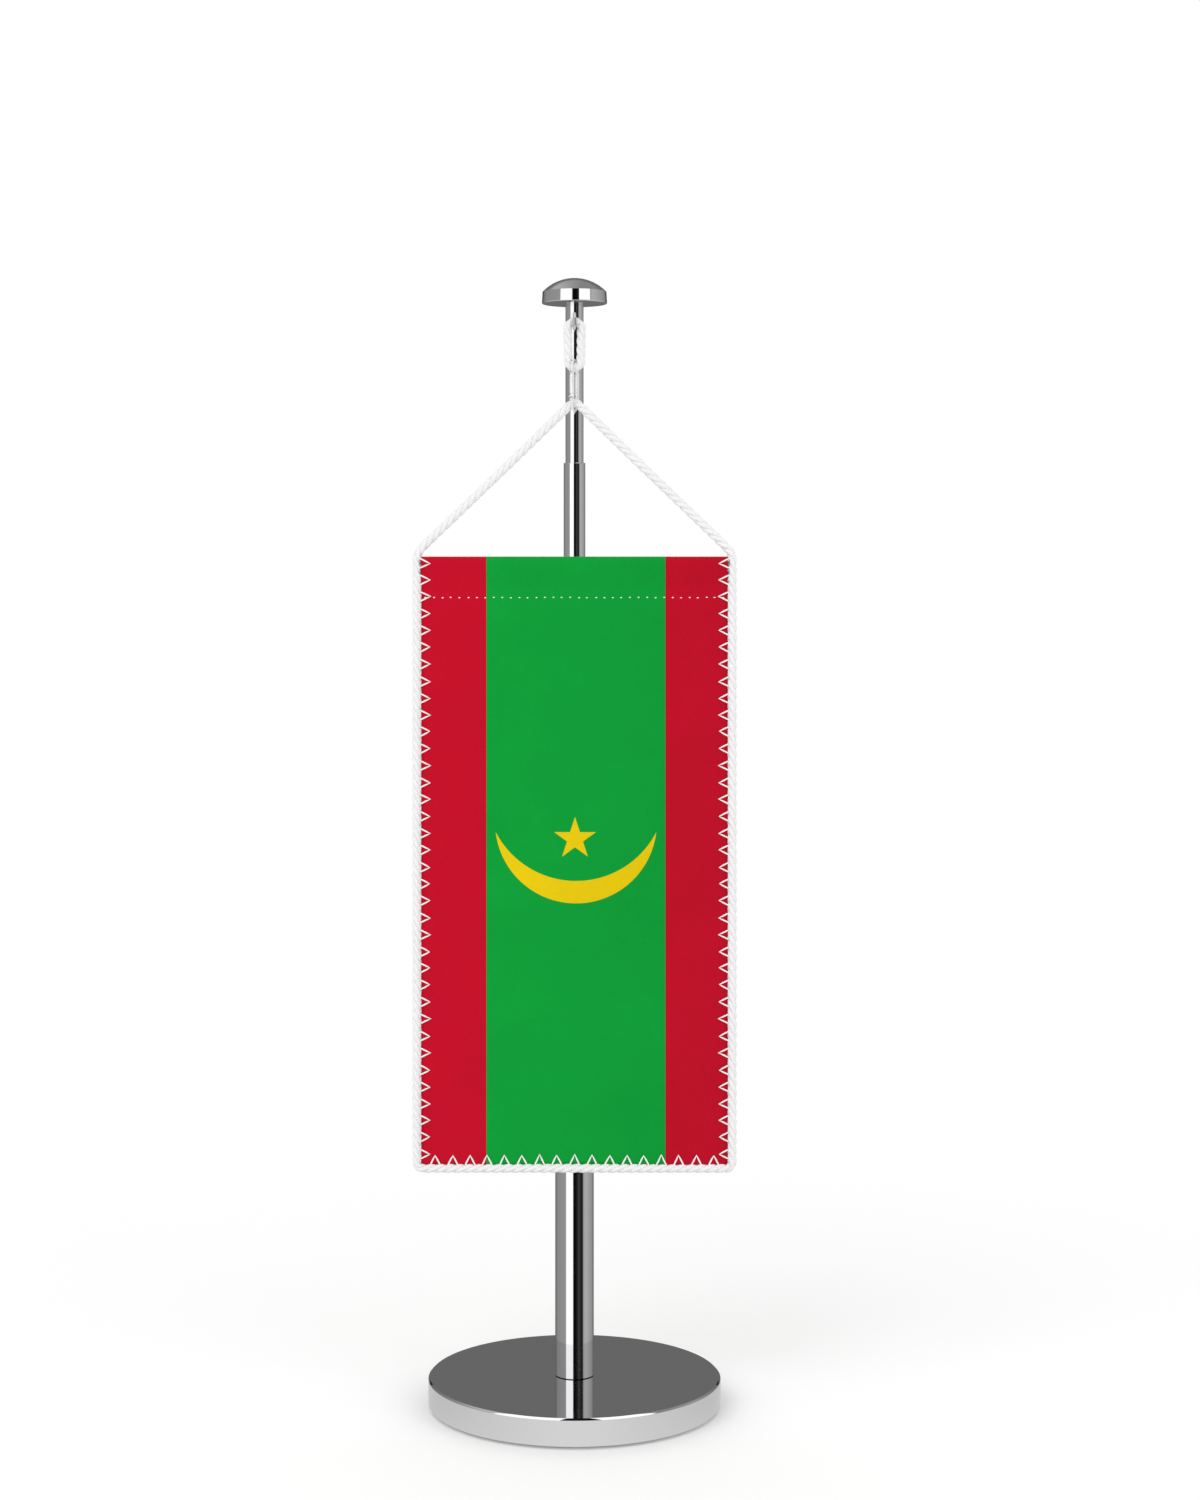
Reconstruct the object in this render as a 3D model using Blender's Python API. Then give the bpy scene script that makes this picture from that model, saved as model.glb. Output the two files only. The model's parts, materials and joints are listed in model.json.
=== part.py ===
"""A desk flag stand: a telescopic pole on a round base, with a pennant hung from a hook under the knob.

Metres, +Z up. The origin is the centre of the underside, on the pole's axis. The pennant hangs in a
vertical plane in front of the pole, towards -Y, and +X is to its right.
"""

import math

import bmesh
import bpy
from mathutils import Matrix, Vector

MM = 0.001
GAP = 0.3 * MM  # between pieces that touch
EDGE = 0.2 * MM  # broken edge of a plain tube
CHAMFER = 0.6 * MM  # on the screw's head and the bush

# Base
BASE_R = 60.5 * MM
BASE_TOP = 12.4 * MM
BASE_BEVEL = 0.7 * MM
PAD_R = 56.0 * MM
PAD_THICK = 1.0 * MM
SCREW_R = 2.7 * MM
SCREW_HOLE_R = 3.2 * MM
SCREW_HEAD_R = 5.5 * MM
SCREW_HEAD_THICK = 3.0 * MM
SCREW_TOP = 24.0 * MM
SCREW_POINT = 0.5 * MM
COUNTERBORE_R = 7.0 * MM
COUNTERBORE_TOP = 6.4 * MM
WASHER_R = 6.2 * MM
WASHER_THICK = 0.6 * MM

# Pole: three tubes, each sliding in the one below
LOWER_R = 8.0 * MM
LOWER_BORE = 7.0 * MM
LOWER_TOP = 230.0 * MM
MIDDLE_R = 4.5 * MM
MIDDLE_BORE = 4.0 * MM
MIDDLE_TOP = 390.5 * MM
TOP_R = 3.75 * MM
TOP_BORE = 3.25 * MM
LIP_BORE = 3.85 * MM
LIP_HEIGHT = 2.0 * MM
RUNNING = 0.15 * MM  # radial clearance between sliding tubes
TOP_RUNNING = 0.1 * MM  # the same, in the narrow middle tube
TOP_EDGE = 0.1 * MM
LIP_EDGE = 0.25 * MM
BASE_PLUG_HEIGHT = 18.0 * MM
BASE_PLUG_ROOF = 3.5 * MM
BUSH_BELOW = 13.0 * MM  # depth of the bush in the lower tube
BUSH_ABOVE = 2.0 * MM
BUSH_BORE = 5.6 * MM
FLANGE_R = 6.4 * MM
FLANGE_THICK = 1.0 * MM
MIDDLE_FOOT_HEIGHT = 12.0 * MM
MIDDLE_SHANK = 10.0 * MM
TOP_FOOT_HEIGHT = 10.0 * MM
TOP_SHANK = 8.0 * MM
GROOVE_DEPTH = 0.7 * MM  # of the feet, for their friction rings
GROOVE_HALF = 1.3 * MM

# Knob
KNOB_R = 13.5 * MM
KNOB_BOTTOM = 456.6 * MM
KNOB_SHOULDER = 461.4 * MM
KNOB_TOP = 467.2 * MM
KNOB_HOLLOW = 0.8 * MM  # depth of its underside
KNOB_EDGE = 0.5 * MM
DOME_STEPS = 9
STUD_R = 2.0 * MM
STUD_BORE_LOW = 447.5 * MM
TOP_PLUG_LOW = 439.3 * MM

# Hanging plane and cord
PLANE_Y = -10.6 * MM
CORD_R = 1.85 * MM
HOOK_WIRE_R = 0.7 * MM
HOOK_Z = 445.3 * MM
HOOK_TIP_TOP = 451.7 * MM
HOOK_BEND_R = 1.6 * MM
HOOK_GAP = 0.45 * MM  # between the cord and the hook's upturned tip
LOOP_TOP_R = 2.8 * MM
LOOP_BOTTOM_R = 2.6 * MM
LOOP_BOTTOM = 429.15 * MM  # centre line of the cord at the foot of the loop

# Snap link between the loop and the bridle
LINK_TURN = math.radians(-19.5)
LINK_WIRE_R = 0.45 * MM
LINK_HALF = 3.15 * MM  # from the middle of the link to each of its sides
LINK_KNUCKLE_R = 1.0 * MM
APEX_Z = 414.5 * MM
LATCH_LOW = 426.6 * MM
FORK_TOP = 417.9 * MM
FORK_LOW = 415.8 * MM  # foot of the fork's full width
FORK_SLOT = 0.45 * MM  # half its width
FORK_SLOT_DEPTH = 1.7 * MM
TONGUE = 0.3 * MM  # half its thickness
PIN_Z = 417.2 * MM
PIN_R = 0.25 * MM
PIN_HALF = 1.25 * MM
PIN_HEAD = 0.2 * MM
PIN_HOLE_R = 0.35 * MM

# Pennant
CLOTH_HALF = 62.5 * MM
CLOTH_THICK = 0.5 * MM
CLOTH_BOTTOM = 102.3 * MM
CLOTH_TOP = 351.7 * MM
HEM_DEPTH = 17.0 * MM
ROD_R = 1.25 * MM
ROD_HALF = 61.5 * MM
TUNNEL_FOOT = 1.5 * MM  # from the hem's stitches up to the tunnel
BORDER_X = 64.85 * MM
BORDER_BOTTOM = 100.15 * MM
BORDER_TOP = 349.5 * MM
CORNER_R = 2.6 * MM
CORD_STEP = 9.0 * MM  # between the points of a cord's route

ROUND = 32  # sides of a small turned piece
WIDE_ROUND = 72  # sides of the base and its pad
KNOB_ROUND = 48
LINK_ROUND = 12  # sides of the link's wire and its pin
SMOOTH_ANGLE = math.radians(35)


def clear_scene():
    for obj in list(bpy.data.objects):
        bpy.data.objects.remove(obj, do_unlink=True)


def material(name, colour, roughness, metallic=0.0):
    made = bpy.data.materials.new(name)
    made.use_nodes = True
    shader = made.node_tree.nodes["Principled BSDF"]
    shader.inputs["Base Color"].default_value = (*colour, 1.0)
    shader.inputs["Roughness"].default_value = roughness
    shader.inputs["Metallic"].default_value = metallic
    return made


def place(obj, finish):
    bpy.context.scene.collection.objects.link(obj)
    obj.data.materials.append(finish)
    return obj


def solid(name, bm, finish):
    """The object of a closed bmesh, with its faces turned outwards and its round faces smooth."""
    bmesh.ops.recalc_face_normals(bm, faces=bm.faces)
    mesh = bpy.data.meshes.new(name)
    bm.to_mesh(mesh)
    bm.free()
    mesh.shade_smooth()
    mesh.set_sharp_from_angle(angle=SMOOTH_ANGLE)
    return place(bpy.data.objects.new(name, mesh), finish)


def ring_of(bm, radius, z, sides):
    if radius == 0:
        return [bm.verts.new((0, 0, z))]
    turns = (2 * math.pi * i / sides for i in range(sides))
    return [bm.verts.new((radius * math.cos(a), radius * math.sin(a), z)) for a in turns]


def bridge(bm, low, high):
    """Faces between two rings, either of which may be one point on the axis."""
    count = max(len(low), len(high))
    for i in range(count):
        j = (i + 1) % count
        corners = [low[i % len(low)], low[j % len(low)], high[j % len(high)], high[i % len(high)]]
        bm.faces.new(dict.fromkeys(corners))


def turned(name, profile, finish, sides=ROUND):
    """A solid turned round Z. A profile of (radius, z) that leaves the axis free is a ring."""
    bm = bmesh.new()
    rings = [ring_of(bm, radius, z, sides) for radius, z in profile]
    for low, high in zip(rings, rings[1:]):
        bridge(bm, low, high)
    if len(rings[0]) > 1:
        bridge(bm, rings[-1], rings[0])
    return solid(name, bm, finish)


def tube(name, outer, inner, low, high, finish, edge=EDGE):
    """A plain tube with its outer edges broken."""
    profile = [
        (inner, low),
        (outer - edge, low),
        (outer, low + edge),
        (outer, high - edge),
        (outer - edge, high),
        (inner, high),
    ]
    return turned(name, profile, finish)


def cylinder_along(name, start, end, radius, finish, sides=16):
    """A plain round bar from start to end."""
    start, end = Vector(start), Vector(end)
    along = end - start
    bm = bmesh.new()
    bmesh.ops.create_cone(
        bm, cap_ends=True, segments=sides, radius1=radius, radius2=radius, depth=along.length
    )
    obj = solid(name, bm, finish)
    obj.location = (start + end) / 2
    obj.rotation_euler = along.to_track_quat("Z", "X").to_euler()
    return obj


def box(name, centre, size, finish):
    bm = bmesh.new()
    bmesh.ops.create_cube(bm, size=1.0)
    bmesh.ops.scale(bm, vec=size, verts=bm.verts)
    obj = solid(name, bm, finish)
    obj.location = centre
    return obj


def combine(obj, other, operation):
    """Cuts other from obj, or joins it to obj. other is a helper, which the build leaves out."""
    other.hide_render = True
    other.display_type = "WIRE"
    modifier = obj.modifiers.new(operation.title(), "BOOLEAN")
    modifier.object = other
    modifier.operation = operation


def smooth_route(points, step):
    """Points about a step apart on the smooth (Catmull-Rom) curve through the route's points."""
    points = [Vector(p) for p in points]
    padded = [2 * points[0] - points[1], *points, 2 * points[-1] - points[-2]]
    route = [points[0]]
    for a, b, c, d in zip(padded, padded[1:], padded[2:], padded[3:]):
        count = max(1, round((c - b).length / step))
        for i in range(1, count + 1):
            t = i / count
            bend = 2 * a - 5 * b + 4 * c - d
            twist = 3 * b - a - 3 * c + d
            route.append((2 * b + (c - a) * t + bend * t * t + twist * t**3) / 2)
    return route


def rope(name, route, radius, finish, closed=False, sizes=None):
    """A tube along the route's points, with its ends filled. sizes widens it point by point."""
    curve = bpy.data.curves.new(name, "CURVE")
    curve.dimensions = "3D"
    curve.bevel_depth = radius
    curve.bevel_resolution = 2
    curve.use_fill_caps = True
    spline = curve.splines.new("POLY")
    spline.points.add(len(route) - 1)
    for i, point in enumerate(route):
        spline.points[i].co = (*point, 1.0)
        spline.points[i].radius = sizes[i] if sizes else 1.0
    spline.use_cyclic_u = closed
    return place(bpy.data.objects.new(name, curve), finish)


def arc(centre, radius, start, end, count):
    """(across, up) points on an arc, with angles in degrees from straight up, clockwise."""
    turns = (math.radians(start + (end - start) * i / (count - 1)) for i in range(count))
    return [(centre[0] + radius * math.sin(a), centre[1] + radius * math.cos(a)) for a in turns]


def in_plane(points):
    """Points (x, z) set in the plane that the pennant hangs in."""
    return [(x, PLANE_Y, z) for x, z in points]


# ---------------------------------------------------------------- base


def make_base(chrome, steel, felt):
    low = PAD_THICK + GAP
    profile = [
        (SCREW_HOLE_R, COUNTERBORE_TOP),
        (COUNTERBORE_R, COUNTERBORE_TOP),
        (COUNTERBORE_R, low),
        (BASE_R - BASE_BEVEL, low),
        (BASE_R, low + BASE_BEVEL),
        (BASE_R, BASE_TOP - BASE_BEVEL),
        (BASE_R - BASE_BEVEL / 3, BASE_TOP - BASE_BEVEL / 3),
        (BASE_R - BASE_BEVEL, BASE_TOP),
        (SCREW_HOLE_R, BASE_TOP),
    ]
    turned("base_disc", profile, chrome, WIDE_ROUND)
    turned("base_pad", [(0, 0), (PAD_R, 0), (PAD_R, PAD_THICK), (0, PAD_THICK)], felt, WIDE_ROUND)

    washer_low = COUNTERBORE_TOP - GAP - WASHER_THICK
    tube("screw_washer", WASHER_R, SCREW_HOLE_R, washer_low, washer_low + WASHER_THICK, steel)
    head_top = washer_low - EDGE
    head_low = head_top - SCREW_HEAD_THICK
    screw = [
        (0, head_low),
        (SCREW_HEAD_R - CHAMFER, head_low),
        (SCREW_HEAD_R, head_low + CHAMFER),
        (SCREW_HEAD_R, head_top),
        (SCREW_R, head_top),
        (SCREW_R, SCREW_TOP - SCREW_POINT),
        (SCREW_R - SCREW_POINT, SCREW_TOP),
        (0, SCREW_TOP),
    ]
    turned("base_screw", screw, steel)


def make_lower_tube(chrome, steel, nylon):
    low = BASE_TOP + GAP
    tube("lower_tube", LOWER_R, LOWER_BORE, low, LOWER_TOP, chrome)

    plug_r = LOWER_BORE - GAP
    plug_top = low + BASE_PLUG_HEIGHT
    bore_r = SCREW_R + RUNNING
    bore_top = plug_top - BASE_PLUG_ROOF
    plug = [
        (0, bore_top),
        (bore_r, bore_top),
        (bore_r, low),
        (plug_r, low),
        (plug_r, plug_top),
        (0, plug_top),
    ]
    turned("tube_plug", plug, steel)

    # A bush that closes the step between the lower and the middle tube
    bush_low = LOWER_TOP - BUSH_BELOW
    bush_top = LOWER_TOP + BUSH_ABOVE
    bush = [
        (BUSH_BORE, bush_low),
        (plug_r, bush_low),
        (plug_r, LOWER_TOP + GAP),
        (LOWER_R, LOWER_TOP + GAP),
        (LOWER_R, bush_top - CHAMFER),
        (LOWER_R - CHAMFER, bush_top),
        (BUSH_BORE, bush_top),
    ]
    turned("guide_bush", bush, chrome)

    sleeve_bore = MIDDLE_R + RUNNING
    sleeve_r = BUSH_BORE - EDGE
    sleeve_low = bush_low + GAP
    flange_low = bush_top + GAP
    flange_top = flange_low + FLANGE_THICK
    sleeve = [
        (sleeve_bore, sleeve_low),
        (sleeve_r, sleeve_low),
        (sleeve_r, flange_low),
        (FLANGE_R, flange_low),
        (FLANGE_R, flange_top),
        (sleeve_bore, flange_top),
    ]
    turned("turn_sleeve", sleeve, nylon)


# ---------------------------------------------------------------- sliding tubes


def make_foot(name, top, height, radius, shank_r, shank, finish):
    """A guide foot: a body with a groove for its friction ring, and a shank pressed into its tube.

    Gives the friction ring's bore, its middle height and half its height.
    """
    groove_r = radius - GROOVE_DEPTH
    middle = top - height / 2
    profile = [
        (0, top - height),
        (radius, top - height),
        (radius, middle - GROOVE_HALF),
        (groove_r, middle - GROOVE_HALF),
        (groove_r, middle + GROOVE_HALF),
        (radius, middle + GROOVE_HALF),
        (radius, top),
        (shank_r, top),
        (shank_r, top + shank),
        (0, top + shank),
    ]
    turned(name, profile, finish)
    return groove_r + TOP_RUNNING, middle, GROOVE_HALF - RUNNING


def make_middle(chrome, nylon, rubber):
    foot_top = LOWER_TOP - BUSH_BELOW - GAP
    foot_r = LOWER_BORE - GAP
    shank_r = MIDDLE_BORE - GAP
    bore, middle, half = make_foot(
        "middle_foot", foot_top, MIDDLE_FOOT_HEIGHT, foot_r, shank_r, MIDDLE_SHANK, nylon
    )
    tube("middle_friction_ring", LOWER_BORE - RUNNING, bore, middle - half, middle + half, rubber)

    profile = [
        (MIDDLE_BORE, foot_top + GAP),
        (MIDDLE_R, foot_top + GAP),
        (MIDDLE_R, MIDDLE_TOP - LIP_EDGE),
        (MIDDLE_R - LIP_EDGE, MIDDLE_TOP),
        (LIP_BORE, MIDDLE_TOP),
        (LIP_BORE, MIDDLE_TOP - LIP_HEIGHT),
        (MIDDLE_BORE, MIDDLE_TOP - LIP_HEIGHT),
    ]
    turned("middle_tube", profile, chrome)


def hook_route():
    """The hook's centre line: straight out of the pole, round a bend, then up in front of the cord."""
    tip_y = PLANE_Y - CORD_R - HOOK_GAP - HOOK_WIRE_R
    bend = arc((tip_y + HOOK_BEND_R, HOOK_Z + HOOK_BEND_R), HOOK_BEND_R, 180, 270, 5)
    run = [(-0.6 * MM, HOOK_Z), (-TOP_R, HOOK_Z), (PLANE_Y, HOOK_Z)]
    tip = [(tip_y, HOOK_TIP_TOP - 1.0 * MM), (tip_y, HOOK_TIP_TOP - 0.3 * MM), (tip_y, HOOK_TIP_TOP)]
    return [(0, y, z) for y, z in run + bend + tip]


def make_top(chrome, steel, nylon, rubber):
    foot_top = MIDDLE_TOP - LIP_HEIGHT - GAP
    foot_r = MIDDLE_BORE - TOP_RUNNING
    shank_r = TOP_BORE - GAP
    bore, middle, half = make_foot(
        "top_foot", foot_top, TOP_FOOT_HEIGHT, foot_r, shank_r, TOP_SHANK, nylon
    )
    ring_r = MIDDLE_BORE - TOP_RUNNING / 2
    tube("top_friction_ring", ring_r, bore, middle - half, middle + half, rubber, TOP_EDGE)

    seat = KNOB_BOTTOM + KNOB_HOLLOW
    tube_top = seat - GAP
    pole = tube("top_tube", TOP_R, TOP_BORE, foot_top + GAP, tube_top, chrome, TOP_EDGE)
    plug_r = TOP_BORE - RUNNING
    stud_bore = STUD_R + RUNNING
    profile = [
        (0, TOP_PLUG_LOW),
        (plug_r, TOP_PLUG_LOW),
        (plug_r, tube_top),
        (stud_bore, tube_top),
        (stud_bore, STUD_BORE_LOW),
        (0, STUD_BORE_LOW),
    ]
    plug = turned("top_plug", profile, steel)
    start, end = (0, 0, HOOK_Z), (0, -TOP_R - MM, HOOK_Z)
    for name, piece in (("tube_hook_cutter", pole), ("plug_hook_cutter", plug)):
        cutter = cylinder_along(name, start, end, HOOK_WIRE_R + EDGE, steel)
        combine(piece, cutter, "DIFFERENCE")

    stud_low = STUD_BORE_LOW + GAP
    stud_top = KNOB_SHOULDER
    stud = [(0, stud_low), (STUD_R, stud_low), (STUD_R, stud_top), (0, stud_top)]
    turned("knob_stud", stud, steel)

    route = hook_route()
    narrowing = [0.9, 0.45]  # the wire's end is rounded
    sizes = [1.0] * (len(route) - len(narrowing)) + narrowing
    rope("hanging_hook", route, HOOK_WIRE_R, chrome, sizes=sizes)
    make_knob(seat, chrome)


def make_knob(seat, chrome):
    """A low dome over a short side, hollowed a little underneath, with a blind hole for its stud."""
    bore = STUD_R + RUNNING
    bore_top = KNOB_SHOULDER + KNOB_HOLLOW
    rise = KNOB_TOP - KNOB_SHOULDER
    dome_r = (KNOB_R**2 + rise**2) / (2 * rise)
    reach = math.asin(KNOB_R / dome_r)
    profile = [
        (0, bore_top),
        (bore, bore_top),
        (bore, seat),
        (KNOB_R - 4 * KNOB_EDGE, seat),
        (KNOB_R - 2 * KNOB_EDGE, KNOB_BOTTOM),
        (KNOB_R - KNOB_EDGE, KNOB_BOTTOM),
        (KNOB_R - KNOB_EDGE / 4, KNOB_BOTTOM + KNOB_EDGE),
        (KNOB_R, KNOB_SHOULDER - KNOB_EDGE),
    ]
    for i in range(DOME_STEPS):
        a = reach * (1 - i / DOME_STEPS)
        profile.append((dome_r * math.sin(a), KNOB_TOP - dome_r * (1 - math.cos(a))))
    profile.append((0, KNOB_TOP))
    turned("finial_knob", profile, chrome, KNOB_ROUND)


# ---------------------------------------------------------------- loop and link


def loop_route():
    """The loop's centre line: round the hook's wire, down to a narrower foot and back up."""
    centre_low = LOOP_BOTTOM + LOOP_BOTTOM_R
    top = arc((0, HOOK_Z), LOOP_TOP_R, -90, 90, 9)
    bottom = arc((0, centre_low), LOOP_BOTTOM_R, 90, 270, 9)
    return in_plane(top + bottom)


def make_loop(cord):
    carrier = pivot("loop_pivot", (0, PLANE_Y, HOOK_Z))
    hang(rope("hanging_loop", loop_route(), CORD_R, cord, closed=True), carrier)


def pivot(name, spot, turn=0.0):
    """An empty on a joint's axis, which carries the pieces that turn about it."""
    empty = bpy.data.objects.new(name, None)
    empty.location = spot
    empty.rotation_euler.z = turn
    bpy.context.scene.collection.objects.link(empty)
    return empty


def hang(obj, carrier):
    """Parents obj to an empty. obj keeps its place, apart from the empty's own turn."""
    obj.parent = carrier
    obj.matrix_parent_inverse = Matrix.Translation(-carrier.location)
    return obj


def swept(name, stations, finish, sides=LINK_ROUND):
    """A round bar in the YZ plane. Each station is ((y, z), radius)."""
    spots = [Vector((0, y, z)) for (y, z), _ in stations]
    bm = bmesh.new()
    rings = []
    for i, spot in enumerate(spots):
        ahead = spots[min(i + 1, len(spots) - 1)] - spots[max(i - 1, 0)]
        across = Vector((1, 0, 0))
        up = across.cross(ahead.normalized())
        radius = stations[i][1]
        turns = (2 * math.pi * k / sides for k in range(sides))
        rings.append(
            [bm.verts.new(spot + radius * (math.cos(a) * across + math.sin(a) * up)) for a in turns]
        )
    for low, high in zip(rings, rings[1:]):
        bridge(bm, low, high)
    bm.faces.new(rings[0])
    bm.faces.new(rings[-1])
    return solid(name, bm, finish)


def link_stations():
    """The link's wire from its latch, over the top and round the back to the fork that holds its gate."""
    front = PLANE_Y - LINK_HALF
    wire = LINK_WIRE_R
    knuckle = LINK_KNUCKLE_R
    latch = [
        ((front, LATCH_LOW), 0.8 * knuckle),
        ((front, LATCH_LOW + 0.25 * MM), knuckle),
        ((front, LATCH_LOW + 0.9 * MM), knuckle),
        ((front, LATCH_LOW + 1.4 * MM), wire),
    ]
    over = [(spot, wire) for spot in arc((PLANE_Y, LOOP_BOTTOM), LINK_HALF, -90, 90, 13)]
    under = [(spot, wire) for spot in arc((PLANE_Y, APEX_Z), LINK_HALF, 90, 270, 13)]
    fork = [
        ((front, FORK_LOW - 0.5 * MM), wire),
        ((front, FORK_LOW), knuckle),
        ((front, FORK_TOP - 0.3 * MM), knuckle),
        ((front, FORK_TOP), 0.8 * knuckle),
    ]
    return latch + over + under + fork


def make_link(plate, steel):
    carrier = pivot("link_pivot", (0, PLANE_Y, LOOP_BOTTOM), LINK_TURN)
    front = PLANE_Y - LINK_HALF
    frame = hang(swept("link_frame", link_stations(), plate), carrier)
    slot_low = FORK_TOP - FORK_SLOT_DEPTH
    slot_high = FORK_TOP + MM
    slot_spot = (0, front, (slot_low + slot_high) / 2)
    slot_size = (2 * FORK_SLOT, 3 * MM, slot_high - slot_low)
    slot = box("fork_slot_cutter", slot_spot, slot_size, steel)
    combine(frame, hang(slot, carrier), "DIFFERENCE")
    hole = cylinder_along("fork_hole_cutter", *across_link(2 * MM), PIN_HOLE_R, steel, LINK_ROUND)
    combine(frame, hang(hole, carrier), "DIFFERENCE")

    head_r = 2 * PIN_R
    pin_profile = [
        (0, -PIN_HALF - PIN_HEAD),
        (head_r, -PIN_HALF - PIN_HEAD),
        (head_r, -PIN_HALF),
        (PIN_R, -PIN_HALF),
        (PIN_R, PIN_HALF),
        (head_r, PIN_HALF),
        (head_r, PIN_HALF + PIN_HEAD),
        (0, PIN_HALF + PIN_HEAD),
    ]
    pin = turned("gate_pin", pin_profile, steel, LINK_ROUND)
    pin.location = (0, front, PIN_Z)
    pin.rotation_euler.y = math.radians(90)
    hang(pin, carrier)
    make_gate(carrier, front, plate, steel)


def across_link(reach):
    """The ends of a line along the gate's pin, reach to each side of it."""
    return [(side * reach, PLANE_Y - LINK_HALF, PIN_Z) for side in (-1, 1)]


def make_gate(carrier, front, plate, steel):
    """The gate: a barrel with a flat tongue that turns in the fork. Its origin is on its pin."""
    knuckle = LINK_KNUCKLE_R
    barrel_low = FORK_TOP + 0.7 * MM - PIN_Z
    barrel_high = LATCH_LOW - GAP - PIN_Z
    profile = [
        (0, barrel_low),
        (0.6 * knuckle, barrel_low),
        (knuckle, barrel_low + 0.5 * MM),
        (knuckle, barrel_high - 0.3 * MM),
        (0.8 * knuckle, barrel_high),
        (0, barrel_high),
    ]
    gate = turned("link_gate", profile, plate, 16)
    gate.location = (0, front, PIN_Z)
    hang(gate, carrier)
    tongue_low = -0.7 * MM
    tongue_high = barrel_low + 0.6 * MM
    tongue_spot = (0, front, PIN_Z + (tongue_low + tongue_high) / 2)
    tongue_size = (2 * TONGUE, MM, tongue_high - tongue_low)
    tongue = box("gate_tongue_helper", tongue_spot, tongue_size, steel)
    combine(gate, hang(tongue, carrier), "UNION")
    hole = cylinder_along("gate_hole_cutter", *across_link(MM), PIN_HOLE_R, steel, LINK_ROUND)
    combine(gate, hang(hole, carrier), "DIFFERENCE")


# ---------------------------------------------------------------- pennant


def extruded(name, outline, half, finish):
    """A solid whose outline (y, z) runs from -half to half along X."""
    bm = bmesh.new()
    sides = [[bm.verts.new((x, y, z)) for y, z in outline] for x in (-half, half)]
    bridge(bm, *sides)
    for side in sides:
        bm.faces.new(side)
    return solid(name, bm, finish)


def hem_outline(radius, foot_half, foot_z, rod_z):
    """A teardrop: wide round the rod, narrow at the row of stitches."""
    over = arc((PLANE_Y, rod_z), radius, 90, -90, 11)
    return [(PLANE_Y - foot_half, foot_z), (PLANE_Y + foot_half, foot_z), *over]


def make_cloth(carrier, cloth, plastic):
    tunnel_r = ROD_R + GAP
    hem_r = tunnel_r + CLOTH_THICK
    rod_z = CLOTH_TOP - hem_r
    stitch_z = CLOTH_TOP - HEM_DEPTH
    half = CLOTH_THICK / 2
    hem = hem_outline(hem_r, CLOTH_THICK, stitch_z, rod_z)
    sheet = [(PLANE_Y - half, CLOTH_BOTTOM), (PLANE_Y + half, CLOTH_BOTTOM), (PLANE_Y + half, stitch_z)]
    outline = [*sheet, *hem[1:], hem[0], (PLANE_Y - half, stitch_z)]
    panel = hang(extruded("pennant_cloth", outline, CLOTH_HALF, cloth), carrier)
    tunnel = hem_outline(tunnel_r, half / 2, stitch_z + TUNNEL_FOOT, rod_z)
    cutter = extruded("hem_tunnel_cutter", tunnel, CLOTH_HALF + MM, cloth)
    combine(panel, hang(cutter, carrier), "DIFFERENCE")
    ends = [(side * ROD_HALF, PLANE_Y, rod_z) for side in (-1, 1)]
    hang(cylinder_along("hem_rod", *ends, ROD_R, plastic), carrier)


def bridle_points():
    """The right half of the bridle, from the middle of its apex down to the pennant's corner."""
    return [
        (GAP / 2, APEX_Z),
        (0.8 * MM, APEX_Z),
        (2.2 * MM, 413.5 * MM),
        (5.0 * MM, 410.8 * MM),
        (20.0 * MM, 396.2 * MM),
        (34.0 * MM, 382.7 * MM),
        (48.0 * MM, 369.3 * MM),
        (60.6 * MM, 357.2 * MM),
        (63.9 * MM, 353.6 * MM),
        (BORDER_X, BORDER_TOP + 1.5 * MM),
        (BORDER_X, BORDER_TOP + GAP),
    ]


def make_cords(carrier, cord):
    corner_z = BORDER_BOTTOM + CORNER_R
    for side, word in ((-1, "left"), (1, "right")):
        bridle = smooth_route(in_plane([(side * x, z) for x, z in bridle_points()]), CORD_STEP)
        hang(rope("bridle_" + word, bridle, CORD_R, cord), carrier)
        edge = in_plane([(side * BORDER_X, BORDER_TOP), (side * BORDER_X, corner_z + GAP)])
        hang(rope("border_" + word, smooth_route(edge, CORD_STEP), CORD_R, cord), carrier)
    inner_x = BORDER_X - CORNER_R
    left = arc((-inner_x, corner_z), CORNER_R, 270, 180, 5)
    right = arc((inner_x, corner_z), CORNER_R, 180, 90, 5)
    hang(rope("border_bottom", in_plane(left + right), CORD_R, cord), carrier)


def main():
    clear_scene()
    chrome = material("chrome", (0.80, 0.80, 0.81), 0.06, 1.0)
    steel = material("zinc_steel", (0.62, 0.63, 0.65), 0.35, 1.0)
    plate = material("bright_plate", (0.86, 0.86, 0.87), 0.25, 1.0)
    felt = material("felt", (0.03, 0.03, 0.03), 0.95)
    nylon = material("nylon", (0.75, 0.74, 0.70), 0.5)
    rubber = material("rubber", (0.03, 0.03, 0.03), 0.8)
    cord = material("cord", (0.88, 0.88, 0.87), 0.7)
    cloth = material("cloth", (0.03, 0.35, 0.05), 0.7)
    plastic = material("rod_plastic", (0.85, 0.85, 0.83), 0.4)

    make_base(chrome, steel, felt)
    make_lower_tube(chrome, steel, nylon)
    make_middle(chrome, nylon, rubber)
    make_top(chrome, steel, nylon, rubber)
    make_loop(cord)
    make_link(plate, steel)
    carrier = pivot("pennant_pivot", (0, PLANE_Y, APEX_Z - LINK_HALF))
    make_cloth(carrier, cloth, plastic)
    make_cords(carrier, cord)


main()
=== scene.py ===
"""Looks of a desk flag stand: twisted cord, sewn pennant cloth and polished chrome."""

import json
import math
import random

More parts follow.
